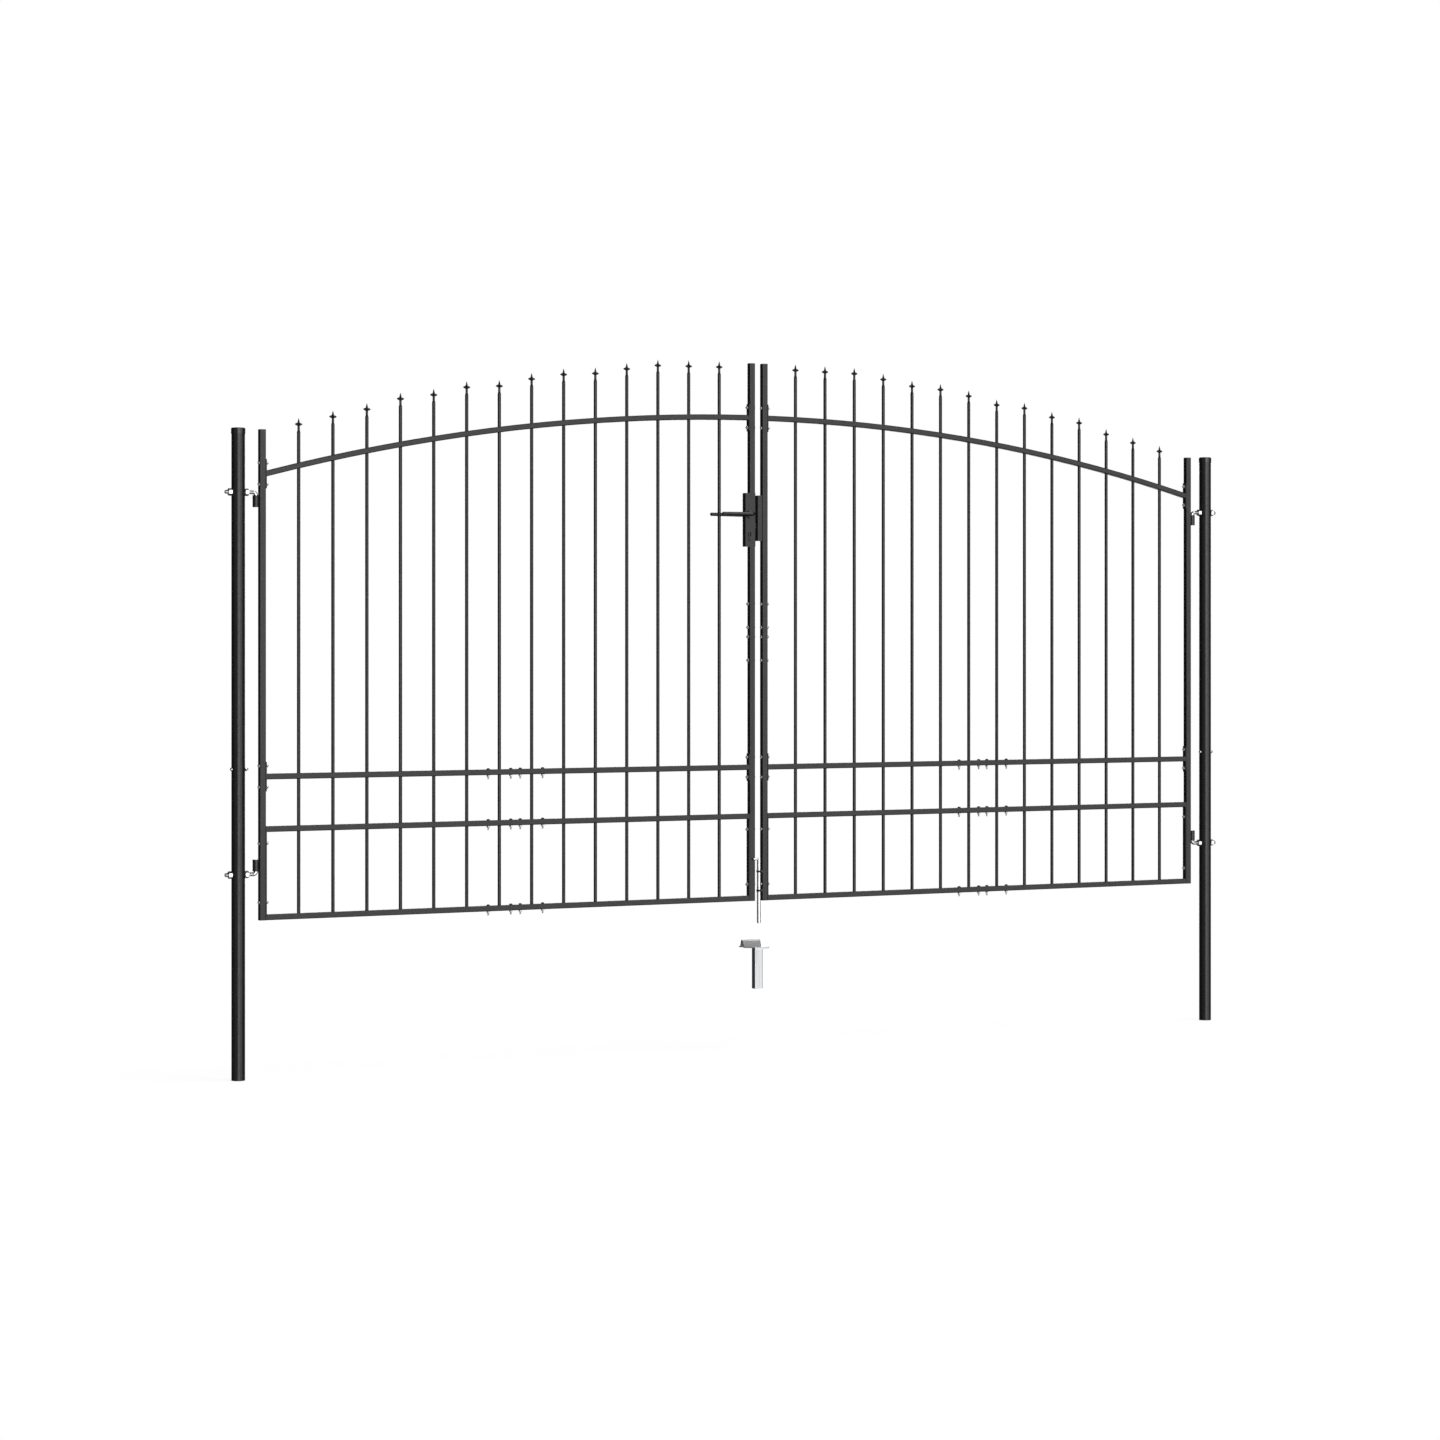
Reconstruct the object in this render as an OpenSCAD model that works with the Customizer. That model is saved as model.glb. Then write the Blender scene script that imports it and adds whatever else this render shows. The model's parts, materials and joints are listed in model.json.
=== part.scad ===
// Double-leaf driveway gate: two arched leaves of round bars between square stiles, hung on two round posts.
// X runs along the gate, +Y away from the street side, +Z up; the left post's foot stands on the origin.

/* [Posts] */
// Distance between the post axes
post_spacing = 3954; // [3400:1:4400]
// Outside diameter of a post
post_d = 46; // [40:1:60]
// Height of a post with its cap
post_h = 2190; // [2100:1:2300]
// Wall of a post
post_wall = 2; // [1.5:0.1:4]
// Length of the swaged spigot inside the lower post
post_spigot_l = 80; // [60:1:120]
// Length over which the spigot widens into the upper post
post_spigot_neck = 6; // [3:1:12]
// Height of a post cap
post_cap_h = 20; // [12:1:40]
// Wall of a post cap
post_cap_wall = 1.2; // [1:0.1:3]
// Bevel of a post cap's upper rim
post_cap_edge = 2.5; // [1:0.5:6]

/* [Leaves] */
// Gap between the two meeting stiles
leaf_gap = 30; // [24:1:40]
// Height of the leaves' lower edge
leaf_bottom = 534; // [480:1:560]
// Side of a square stile
stile = 22; // [20:1:30]
// Wall of a stile
stile_wall = 1.5; // [1.2:0.1:3]
// Outside corner radius of a stile
stile_corner = 3; // [2:0.5:4]
// How far the hinge stile's top lies below the post's
hinge_stile_drop = 3; // [0:1:40]
// How far the meeting stile stands above the arch's crown
meeting_stile_rise = 197; // [120:1:260]
// Thickness of a stile cap above the tube
stile_cap_t = 2; // [1:0.5:4]
// Depth of a stile cap inside the tube
stile_cap_plug = 12; // [8:1:25]

/* [Infill] */
// Side of a square rail
rail = 20; // [16:1:22]
// Corner radius of a rail
rail_corner = 3; // [2:0.5:4]
// Height of the lower cross rail's middle above the leaf's lower edge
lower_rail_up = 307; // [260:1:340]
// Distance between the middles of the two cross rails
rail_spacing = 177; // [150:1:220]
// Radius of the arched rail, to its middle line
arch_r = 7350; // [6500:10:8500]
// Distance from the hinge stile's top down to the arched rail's middle line
arch_drop = 149; // [110:1:200]
// Diameter of an infill bar
bar_d = 12; // [10:1:16]
// Distance from a stile to the middle of the bar beside it
bar_margin = 119.75; // [100:0.25:140]
// Thickness of the plates that close the rail ends
end_plate_t = 3; // [2:0.5:6]
// Height of the end plate of the arched and of the upper rail
end_plate_h = 100; // [80:1:130]
// Corner radius of an end plate
end_plate_corner = 4; // [2:0.5:8]

/* [Spear tips] */
// Height of a spear tip above its bar
tip_h = 55; // [48:1:70]
// Width of a spear tip across its four lobes
tip_w = 26.5; // [24:0.5:40]
// Height of the left and right lobes at their roots
tip_lobe_h = 15; // [8:0.1:17]
// Height of the front and back lobes at their roots
tip_cross_lobe_h = 14.2; // [8:0.1:17]
// Diameter of a lobe where its blunt end begins
tip_lobe_end_d = 6.4; // [3:0.1:8]
// Length of a lobe's blunt end
tip_lobe_end_l = 3; // [1:0.5:4]
// Height of the ferrule that sits on the bar
tip_ferrule_h = 8; // [2:0.5:10]
// Height over which a tip narrows from its ferrule to its neck
tip_taper_h = 6; // [4:0.5:12]
// Diameter of the neck below the lobes
tip_neck_d = 8.5; // [7:0.5:10]
// Length of the spike above the lobes
tip_spike_h = 13; // [10:1:20]
// Diameter of the spike at its root
tip_spike_d = 7.6; // [6:0.1:9]
// Diameter of the spike's and the lobes' blunt points
tip_point_d = 1; // [0.5:0.1:3]

/* [Hinges] */
// Distance from the post axis to the hinge axis
hinge_reach = 62; // [56:1:75]
// Diameter of the threaded hinge pins
pin_d = 14; // [12:0.5:15]
// Distance of the upper pin's threaded length below the post's top
top_pin_drop = 216; // [180:1:300]
// Height of the lower pin's threaded length above the leaf's lower edge
bottom_pin_up = 156; // [120:1:200]
// Outside diameter of a hinge barrel
barrel_d = 22; // [20:1:26]
// Length of a hinge barrel
barrel_l = 40; // [30:1:60]
// Gap between a hinge barrel and the threaded length it turns beside
barrel_gap = 2.5; // [1:0.5:5]
// Width of the foot that joins a barrel to its stile
barrel_foot_w = 8; // [6:1:14]
// Radial clearance of a hinge pin in its barrel
pin_clearance = 0.1; // [0.05:0.05:0.3]
// Width across the flats of a hinge nut
nut_af = 22; // [20:1:24]
// Thickness of a hinge nut
nut_t = 12.5; // [8:0.5:14]
// Height of the bevel at a hinge nut's corners
nut_edge = 1.2; // [0.5:0.1:2]
// Length of thread that stands past the outer nut
pin_end = 11; // [4:1:30]

/* [Lock] */
// Width of the lock case along the gate
case_w = 42; // [38:1:60]
// Height of the lock case
case_h = 194; // [170:1:220]
// Depth of the lock case
case_depth = 24; // [22:1:34]
// Radius of the lock case's upright edges
case_corner = 2.5; // [1:0.5:5]
// How far the lock case stands past the stile into the gap
case_proud = 1; // [0.5:0.5:3]
// Distance from the meeting stile's top down to the lock case's lower edge
case_drop = 664; // [620:1:700]
// Height of the handle spindle above the case's lower edge
spindle_up = 117; // [100:1:130]
// Distance of the spindle from the case's outer edge
backset = 19.5; // [17:0.5:25]
// Diameter of the handle spindle
spindle_d = 8; // [7:0.5:9]
// Distance from the gate's middle plane to a lever
lever_out = 47; // [40:1:60]
// Length of a lever
lever_l = 131; // [110:1:150]
// Diameter of a lever at its neck and bend
lever_d = 14.5; // [13:0.5:18]
// Diameter of a lever at its free end
lever_end_d = 12.5; // [10:0.5:14]
// Bevel of a lever's two ends
lever_edge = 2; // [1:0.5:4]
// Radius of the bend between a lever's neck and its arm, to the middle line
lever_bend = 14; // [10:0.5:18]
// Gap between a lever's neck and the lock case
lever_gap = 0.3; // [0.2:0.1:1]
// Diameter of a handle rosette
rosette_d = 30; // [26:1:34]
// Thickness of a handle rosette
rosette_t = 5; // [3:0.5:8]
// Bevel of a handle rosette's rim
rosette_edge = 1.5; // [0.5:0.5:2.5]
// Distance of the key cylinder below the spindle
cylinder_down = 72; // [60:1:85]
// Length of the key cylinder through the case
cylinder_l = 30; // [26:1:44]
// Diameter of the key cylinder's round part
cylinder_d = 17; // [16:0.5:18]
// Width of the key cylinder's web
cylinder_web_w = 10; // [8:0.5:11]
// Distance from the key cylinder's axis to the middle of its web's round end
cylinder_web_l = 20; // [17:0.5:22]
// Width of the keyway
keyway_w = 4; // [3:0.5:5]
// Height of the keyway
keyway_h = 14; // [10:0.5:15]
// Depth of the keyway from each face
keyway_depth = 9; // [5:0.5:12]
// Distance of the keyway's middle below the key cylinder's axis
keyway_down = 0; // [0:0.5:5]
// Height of the latch above the case's lower edge
latch_up = 77; // [65:1:82]
// Height of the latch
latch_h = 20; // [14:1:24]
// Thickness of the latch
latch_t = 10; // [8:0.5:14]
// How far the withdrawn latch stands out of the case
latch_out = 5; // [2:0.5:6]
// Length of the latch inside the case
latch_in = 18; // [12:1:24]
// Width of the keeper along the gate
keeper_w = 20; // [14:0.5:21]
// Height of the keeper
keeper_h = 165; // [140:1:190]
// Height of the keeper's lower edge above the lock case's
keeper_up = 21; // [10:1:40]
// Wall left behind the keeper's slot
keeper_back = 5; // [3:0.5:8]
// Radius of the keeper's upright edges
keeper_corner = 2.5; // [1:0.5:4]
// Room on each side of the latch in the keeper's slot
slot_play = 2; // [1:0.5:3]
// Room above and below the latch in the keeper's slot
slot_rise = 5; // [2:0.5:8]

/* [Drop bolt] */
// Diameter of the drop bolt
bolt_d = 14; // [12:0.5:16]
// Length of the drop bolt
bolt_l = 237; // [210:1:260]
// Bevel of the drop bolt's ends and of its side handle's end
bolt_edge = 1.2; // [0.4:0.2:2.4]
// How far the drop bolt reaches below the leaf when it rests half raised
bolt_below = 80; // [60:1:95]
// Distance of the drop bolt in front of the gate's middle plane
bolt_front = 18; // [17:0.5:24]
// Distance of the drop bolt past the middle of the gap, towards the lock
bolt_side = 4.5; // [2:0.5:6]
// Diameter of the drop bolt's side handle
bolt_handle_d = 8; // [6:0.5:9]
// Reach of the side handle from the bolt's axis
bolt_handle_l = 23; // [18:1:40]
// Distance of the side handle's axis below the bolt's top
bolt_handle_drop = 5.5; // [5:0.5:10]
// Height of the lower guide's middle above the leaf's lower edge
lower_guide_up = 38; // [20:1:60]
// Distance between the middles of the two guides
guide_spacing = 69; // [50:1:85]
// Height of a guide
guide_h = 8; // [6:0.5:12]
// Wall of a guide around the bolt
guide_wall = 1.6; // [1.2:0.1:2]
// Thickness of a guide's tab on the stile
guide_tab_t = 4; // [3:0.5:6]
// Distance from a guide tab's end to the stile's inner edge
guide_tab_inset = 4; // [2:0.5:8]
// Room on each side of the handle in the upper guide's slot
guide_slot_play = 1; // [0.5:0.5:2]
// Radial clearance of the bolt in its guides
bolt_clearance = 0.3; // [0.1:0.1:0.6]

/* [Ground stop] */
// Distance from the leaf's lower edge down to the flat plate's top
stop_drop = 165; // [150:1:180]
// Thickness of the bent plate
stop_t = 4; // [3:0.5:5]
// Length of the ridge along the gate
ridge_l = 72; // [60:1:90]
// Width of the ridge with its flared feet
ridge_w = 44; // [40:1:60]
// Height of the ridge above the flat plate
ridge_h = 24; // [20:1:36]
// Outside radius of the ridge's crown
ridge_crown_r = 7; // [5.5:0.5:9]
// Lean of the ridge's sides from upright, in degrees
ridge_lean = 20; // [12:1:24]
// Distance from the gate's middle to the ridge's right end
ridge_end = 15; // [10:1:25]
// Distance of the ridge's front foot in front of the gate's middle plane
ridge_front = 8; // [4:0.5:9]
// Depth of the flat tongue in front of the ridge
tongue_depth = 25; // [24:0.5:30]
// Reach of the tongue's front edge past the gate's middle
tongue_end = 31; // [20:1:40]
// Height of the lip along the tongue's front edge, with the plate
lip_h = 9; // [6:0.5:14]
// Thickness of the lip
lip_t = 2.5; // [2:0.5:2.5]
// Width of the leg along the gate
leg_w = 33; // [30:0.5:45]
// Depth of the leg
leg_depth = 25; // [23.5:0.5:30]
// Wall of the leg
leg_wall = 1.5; // [1.2:0.1:2]
// Outside corner radius of the leg
leg_corner = 3; // [2:0.5:5]
// Length of the leg
leg_l = 147; // [100:1:200]
// Distance of the leg's middle from the drop bolt's axis, along the gate
leg_side = 6.4; // [0:0.2:7]
// Diameter of the hole that takes the drop bolt
bolt_hole_d = 20; // [18:0.5:22]

/* [Hidden] */
// Segments of a round form, and of the arched rail's corners and full circle
round_fn = 48;
arch_corner_fn = 12;
$fn = round_fn;
arch_fn = 1440;

// Rise of each spear tip above the arched rail, from the hinge side to the middle
tip_rise = [160, 160, 162, 177, 172, 182, 172, 185, 191, 187, 198, 207, 203, 201];
bars = len(tip_rise);

// Finishes
black = [0.09, 0.09, 0.1];
zinc = [0.78, 0.79, 0.8];

// Small clearances of pieces that are pushed together, and the overlap of cutting bodies
fit = 0.1;
cut = 1;

// Heights of the posts' joint, the hinge pins and the ground stop
post_joint_z = post_h / 2;
top_pin_z = post_h - top_pin_drop;
bottom_pin_z = leaf_bottom + bottom_pin_up;
stop_z = leaf_bottom - stop_drop;

// Places along the gate, measured outwards from its middle
half = post_spacing / 2;
hinge_u = half - hinge_reach;
hinge_stile_u = hinge_u - barrel_d / 2 - stile;
meeting_stile_u = leaf_gap / 2;
panel_u0 = meeting_stile_u + stile;
panel_u1 = hinge_stile_u;
leaf_mid_u = (panel_u0 + panel_u1) / 2;

// Heights of the straight rails and of the arched rail
bottom_rail_z = leaf_bottom + rail / 2;
lower_rail_z = leaf_bottom + lower_rail_up;
upper_rail_z = lower_rail_z + rail_spacing;
straight_rails = [bottom_rail_z, lower_rail_z, upper_rail_z];
hinge_stile_top = post_h - hinge_stile_drop;
arch_centre_z = hinge_stile_top - arch_drop - sqrt(arch_r * arch_r - panel_u1 * panel_u1);
arch_crown_z = arch_centre_z + arch_r;
function arch_z(u) = arch_centre_z + sqrt(arch_r * arch_r - u * u);

// Bars, evenly spread between the stiles, and the meeting stile above the crown
bar_pitch = (panel_u1 - panel_u0 - 2 * bar_margin) / (bars - 1);
function bar_u(i) = leaf_mid_u + ((bars - 1) / 2 - i) * bar_pitch;
function bar_top(i) = arch_z(bar_u(i)) + tip_rise[i] - tip_h;

meeting_stile_top = arch_crown_z + meeting_stile_rise;
meeting_joint_z = (leaf_bottom + meeting_stile_top) / 2;

// Lock places
case_z = meeting_stile_top - case_drop;
keeper_z = case_z + keeper_up;
case_u = meeting_stile_u - case_proud;
spindle_u = case_u + case_w - backset;
spindle_z = case_z + spindle_up;
latch_z = case_z + latch_up;

// Drop bolt places
bolt_r = bolt_d / 2;
bolt_z = leaf_bottom - bolt_below;
lower_guide_z = leaf_bottom + lower_guide_up;
upper_guide_z = lower_guide_z + guide_spacing;
guide_r = bolt_r + bolt_clearance + guide_wall;
handle_z = bolt_z + bolt_l - bolt_handle_drop;
leg_front = bolt_front + leg_depth / 2;
leg_mid_u = -bolt_side - leg_side;

// A piece drawn outwards from the middle, placed on the left or right half of the gate
module left_side() {
    translate([half, 0, 0]) mirror([1, 0, 0]) children();
}

module right_side() {
    translate([half, 0, 0]) children();
}

// Hollow round length with its axis upright
module tube(d, wall, h) {
    difference() {
        cylinder(h = h, d = d);
        translate([0, 0, -cut]) cylinder(h = h + 2 * cut, d = d - 2 * wall);
    }
}

// Rectangle with round corners, centred
module rounded_rectangle(w, d, r) {
    square([w - 2 * r, d], center = true);
    square([w, d - 2 * r], center = true);
    for (x = [-1, 1], y = [-1, 1])
        translate([x * (w / 2 - r), y * (d / 2 - r)]) circle(r);
}

// Section of a rectangular tube with round corners
module tube_section(w, d, wall, r) {
    difference() {
        rounded_rectangle(w, d, r);
        rounded_rectangle(w - 2 * wall, d - 2 * wall, max(r - wall, fit));
    }
}

// Hollow square length that stands at distance u from the middle
module stile_tube(u, z0, z1) {
    translate([u + stile / 2, 0, z0]) linear_extrude(z1 - z0)
        tube_section(stile, stile, stile_wall, stile_corner);
}

// Holes of both hinge pins through a post
module pin_holes() {
    for (z = [top_pin_z, bottom_pin_z])
        translate([-post_d, 0, z]) rotate([0, 90, 0]) cylinder(h = 2 * post_d, d = pin_d + 2 * fit);
}

module post_lower() {
    color(black) difference() {
        translate([half, 0, 0]) tube(post_d, post_wall, post_joint_z);
        translate([half, 0, 0]) pin_holes();
    }
}

module post_upper() {
    spigot_d = post_d - 2 * post_wall - 2 * fit;
    top = post_h - post_cap_wall - post_cap_edge;
    color(black) difference() {
        translate([half, 0, 0]) union() {
            translate([0, 0, post_joint_z]) tube(post_d, post_wall, top - post_joint_z);
            translate([0, 0, post_joint_z]) tube(post_d, 2 * post_wall + fit, post_spigot_neck);
            translate([0, 0, post_joint_z - post_spigot_l]) tube(spigot_d, post_wall, post_spigot_l + cut);
        }
        translate([half, 0, 0]) pin_holes();
    }
}

module post_cap() {
    inner = post_d / 2 + fit;
    outer = inner + post_cap_wall;
    roof = post_cap_h - post_cap_wall;
    color(black) translate([half, 0, post_h - post_cap_h]) rotate_extrude()
        polygon([[0, roof], [0, post_cap_h], [outer - post_cap_edge, post_cap_h],
            [outer, post_cap_h - post_cap_edge], [outer, 0], [inner, 0], [inner, roof - post_cap_edge],
            [inner - post_cap_edge, roof]]);
}

// Threaded pin through the post with its end bent into the hinge barrel; up is 1 or -1
module hinge_pin(z, up) {
    outer = half + post_d / 2 + nut_t + pin_end;
    bend = pin_d / 2 + barrel_gap;
    color(zinc) translate([hinge_u, 0, z]) {
        translate([bend, 0, 0]) rotate([0, 90, 0]) cylinder(h = outer - hinge_u - bend, d = pin_d);
        mirror([0, 0, up > 0 ? 0 : 1]) {
            translate([bend, 0, bend]) rotate([90, 0, 180]) rotate_extrude(angle = -90)
                translate([bend, 0]) circle(d = pin_d);
            translate([0, 0, bend]) cylinder(h = barrel_l, d = pin_d);
        }
    }
}

// Hexagon nut with bevelled corners, its foot on the ground
module hinge_nut() {
    flat_r = nut_af / 2;
    corner_r = flat_r / cos(30);
    difference() {
        intersection() {
            cylinder(h = nut_t, r = corner_r, $fn = 6);
            rotate_extrude()
                polygon([[0, 0], [flat_r - fit, 0], [corner_r + fit, nut_edge],
                    [corner_r + fit, nut_t - nut_edge], [flat_r - fit, nut_t], [0, nut_t]]);
        }
        translate([0, 0, -cut]) cylinder(h = nut_t + 2 * cut, d = pin_d + 2 * fit);
    }
}

module hinge_nuts() {
    color(zinc)
        for (z = [top_pin_z, bottom_pin_z])
            for (u = [half - post_d / 2 - nut_t, half + post_d / 2])
                translate([u, 0, z]) rotate([0, 90, 0]) hinge_nut();
}

module hinge_stile() {
    color(black) stile_tube(hinge_stile_u, leaf_bottom, hinge_stile_top - stile_cap_t);
}

module meeting_stile_lower() {
    color(black) stile_tube(meeting_stile_u, leaf_bottom, meeting_joint_z);
}

module meeting_stile_upper() {
    color(black) stile_tube(meeting_stile_u, meeting_joint_z, meeting_stile_top - stile_cap_t);
}

// Plugs that close the tops of both stiles of a leaf
module stile_caps() {
    plug = stile - 2 * stile_wall - 2 * fit;
    tops = [[hinge_stile_u, hinge_stile_top], [meeting_stile_u, meeting_stile_top]];
    color(black)
        for (t = tops)
            translate([t[0] + stile / 2, 0, t[1] - stile_cap_t]) {
                linear_extrude(stile_cap_t) rounded_rectangle(stile, stile, stile_corner);
                translate([0, 0, -stile_cap_plug]) linear_extrude(stile_cap_plug)
                    rounded_rectangle(plug, plug, max(stile_corner - stile_wall, fit));
            }
}

// Two barrels, each with a flat foot on the stile
module hinge_barrels() {
    reach = pin_d / 2 + barrel_gap;
    color(black)
        for (z = [top_pin_z - reach - barrel_l, bottom_pin_z + reach])
            translate([hinge_u, 0, z]) difference() {
                union() {
                    cylinder(h = barrel_l, d = barrel_d);
                    translate([-barrel_d / 2, -barrel_foot_w / 2, 0])
                        cube([barrel_d / 2, barrel_foot_w, barrel_l]);
                }
                translate([0, 0, -cut]) cylinder(h = barrel_l + 2 * cut, d = pin_d + 2 * pin_clearance);
            }
}

// Stretch of the arched rail between two distances from the middle
module arch_stretch(u0, u1) {
    low = arch_z(u1) - 2 * rail;
    high = arch_crown_z + 2 * rail;
    intersection() {
        translate([0, 0, arch_centre_z]) rotate([90, 0, 0]) rotate_extrude($fn = arch_fn)
            translate([arch_r, 0]) rounded_rectangle(rail, rail, rail_corner, $fn = arch_corner_fn);
        translate([u0, -rail, low]) cube([u1 - u0, 2 * rail, high - low]);
    }
}

// Plates on the rail ends, seated on the stile whose face lies at u
module end_plates(u, inward) {
    u0 = inward > 0 ? u : u - end_plate_t;
    spans = [[arch_z(u) - end_plate_h / 2, end_plate_h], [upper_rail_z - end_plate_h / 2, end_plate_h],
        [leaf_bottom, lower_rail_z + rail / 2 - leaf_bottom]];
    for (s = spans)
        translate([u0, 0, s[0] + s[1] / 2]) rotate([0, 90, 0]) linear_extrude(end_plate_t)
            rounded_rectangle(s[1], rail, end_plate_corner);
}

// Half of a leaf's infill: rails from u0 to u1, the arched rail and the bars first to last
module panel(u0, u1, first, last) {
    for (z = straight_rails)
        translate([u0, 0, z]) rotate([0, 90, 0]) linear_extrude(u1 - u0)
            rounded_rectangle(rail, rail, rail_corner);
    arch_stretch(u0, u1);
    for (i = [first : last])
        translate([bar_u(i), 0, bottom_rail_z]) cylinder(h = bar_top(i) - bottom_rail_z, d = bar_d);
}

module outer_panel() {
    color(black) union() {
        panel(leaf_mid_u, panel_u1, 0, bars / 2 - 1);
        end_plates(panel_u1, -1);
    }
}

module inner_panel() {
    color(black) union() {
        panel(panel_u0, leaf_mid_u, bars / 2, bars - 1);
        end_plates(panel_u0, 1);
    }
}

// Two opposite lobes of a tip, blunt cones that meet at their roots, along Z
module lobe_pair(root_d) {
    reach = tip_w / 2;
    blunt = reach - tip_lobe_end_l;
    rotate_extrude()
        polygon([[0, -reach], [tip_point_d, -reach], [tip_lobe_end_d / 2, -blunt], [root_d / 2, 0],
            [tip_lobe_end_d / 2, blunt], [tip_point_d, reach], [0, reach]]);
}

// Cast tip: ferrule, neck, four lobes and a spike
module spear_tip() {
    lobe_z = tip_h - tip_spike_h - tip_lobe_h / 2;
    neck_r = tip_neck_d / 2;
    rotate_extrude()
        polygon([[0, 0], [bar_d / 2, 0], [bar_d / 2, tip_ferrule_h], [neck_r, tip_ferrule_h + tip_taper_h],
            [neck_r, lobe_z], [tip_spike_d / 2, tip_h - tip_spike_h], [tip_point_d / 2, tip_h], [0, tip_h]]);
    translate([0, 0, lobe_z]) rotate([0, 90, 0]) lobe_pair(tip_lobe_h);
    translate([0, 0, lobe_z]) rotate([90, 0, 0]) lobe_pair(tip_cross_lobe_h);
}

module spear_tips() {
    color(black)
        for (i = [0 : bars - 1])
            translate([bar_u(i), 0, bar_top(i)]) spear_tip();
}

// Profile of the key cylinder: a round barrel above a straight web
module key_profile(grow) {
    web = cylinder_web_w + 2 * grow;
    circle(d = cylinder_d + 2 * grow);
    translate([-web / 2, -cylinder_web_l]) square([web, cylinder_web_l]);
    translate([0, -cylinder_web_l]) circle(d = web);
}

// Key cylinder drawn at its place, through the case
module key_body(l, grow) {
    translate([spindle_u, l / 2, spindle_z - cylinder_down]) rotate([90, 0, 0])
        linear_extrude(l) key_profile(grow);
}

// Latch with clearance, from inside the case out to a distance past its edge
module latch_body(out, grow) {
    translate([case_u - out, -latch_t / 2 - grow, latch_z - latch_h / 2 - grow])
        cube([out + latch_in + grow, latch_t + 2 * grow, latch_h + 2 * grow]);
}

module lock_case() {
    color(black) left_side() difference() {
        translate([case_u + case_w / 2, 0, case_z]) linear_extrude(case_h)
            rounded_rectangle(case_w, case_depth, case_corner);
        translate([spindle_u, case_depth, spindle_z]) rotate([90, 0, 0])
            cylinder(h = 2 * case_depth, d = spindle_d + 2 * fit);
        key_body(2 * case_depth, fit);
        latch_body(latch_out, fit);
    }
}

module lock_cylinder() {
    key_z = spindle_z - cylinder_down - keyway_down;
    color(black) left_side() difference() {
        key_body(cylinder_l, 0);
        for (s = [-1, 1])
            translate([spindle_u - keyway_w / 2, s * cylinder_l / 2 - keyway_depth, key_z - keyway_h / 2])
                cube([keyway_w, 2 * keyway_depth, keyway_h]);
    }
}

module lock_latch() {
    color(black) left_side() latch_body(latch_out, 0);
}

module lock_rosettes() {
    bore_r = lever_d / 2 + fit;
    rim_r = rosette_d / 2;
    color(black) left_side()
        for (s = [0, 1])
            translate([spindle_u, 0, spindle_z]) mirror([0, s, 0])
                translate([0, -case_depth / 2, 0]) rotate([90, 0, 0]) rotate_extrude()
                    polygon([[bore_r, 0], [rim_r, 0], [rim_r, rosette_t - rosette_edge],
                        [rim_r - rosette_edge, rosette_t], [bore_r, rosette_t]]);
}

// Lever bent from a round bar: neck on the spindle, bend, and an arm that tapers to its free end
module lever() {
    neck_l = lever_out - lever_bend - case_depth / 2 - lever_gap;
    root_r = lever_d / 2;
    end_r = lever_end_d / 2;
    arm_l = lever_l - lever_bend;
    difference() {
        translate([spindle_u, -lever_out, spindle_z]) {
            translate([0, lever_bend, 0]) rotate([-90, 0, 0]) cylinder(h = neck_l, d = lever_d);
            translate([lever_bend, lever_bend, 0]) rotate([0, 0, 180]) rotate_extrude(angle = 90)
                translate([lever_bend, 0]) circle(d = lever_d);
            translate([lever_bend, 0, 0]) rotate([0, 90, 0]) rotate_extrude()
                polygon([[0, 0], [root_r, 0], [end_r, arm_l - lever_edge], [end_r - lever_edge, arm_l],
                    [0, arm_l]]);
        }
        translate([spindle_u, 0, spindle_z]) rotate([90, 0, 0])
            cylinder(h = lever_out - lever_bend, d = spindle_d + fit);
    }
}

module front_lever() {
    color(black) left_side() lever();
}

module back_lever() {
    color(black) left_side() mirror([0, 1, 0]) lever();
}

module lock_spindle() {
    l = 2 * (lever_out - lever_bend - fit);
    color(zinc) left_side() translate([spindle_u, l / 2, spindle_z]) rotate([90, 0, 0])
        cylinder(h = l, d = spindle_d);
}

// Box on the right meeting stile with a slot for the latch
module lock_keeper() {
    u0 = meeting_stile_u - keeper_w;
    slot_t = latch_t + 2 * slot_play;
    slot_h = latch_h + 2 * slot_rise;
    color(black) right_side() difference() {
        translate([u0 + keeper_w / 2, 0, keeper_z]) linear_extrude(keeper_h)
            rounded_rectangle(keeper_w, stile, keeper_corner);
        translate([u0 - cut, -slot_t / 2, latch_z - slot_h / 2])
            cube([keeper_w - keeper_back + cut, slot_t, slot_h]);
    }
}

// Ring around the drop bolt with a tab on the stile's front face
module guide(z, slotted) {
    tab_end = meeting_stile_u + stile - guide_tab_inset;
    slot_w = bolt_handle_d + 2 * guide_slot_play;
    translate([0, 0, z - guide_h / 2]) difference() {
        union() {
            translate([-bolt_side, -bolt_front, 0]) cylinder(h = guide_h, r = guide_r);
            translate([-bolt_side, -stile / 2 - guide_tab_t, 0])
                cube([tab_end + bolt_side, guide_tab_t, guide_h]);
        }
        translate([-bolt_side, -bolt_front, -cut])
            cylinder(h = guide_h + 2 * cut, r = bolt_r + bolt_clearance);
        if (slotted)
            translate([-bolt_side - 2 * guide_r, -bolt_front - slot_w / 2, -cut])
                cube([2 * guide_r, slot_w, guide_h + 2 * cut]);
    }
}

module drop_bolt_guides() {
    color(black) right_side() {
        guide(upper_guide_z, true);
        guide(lower_guide_z, false);
    }
}

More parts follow.
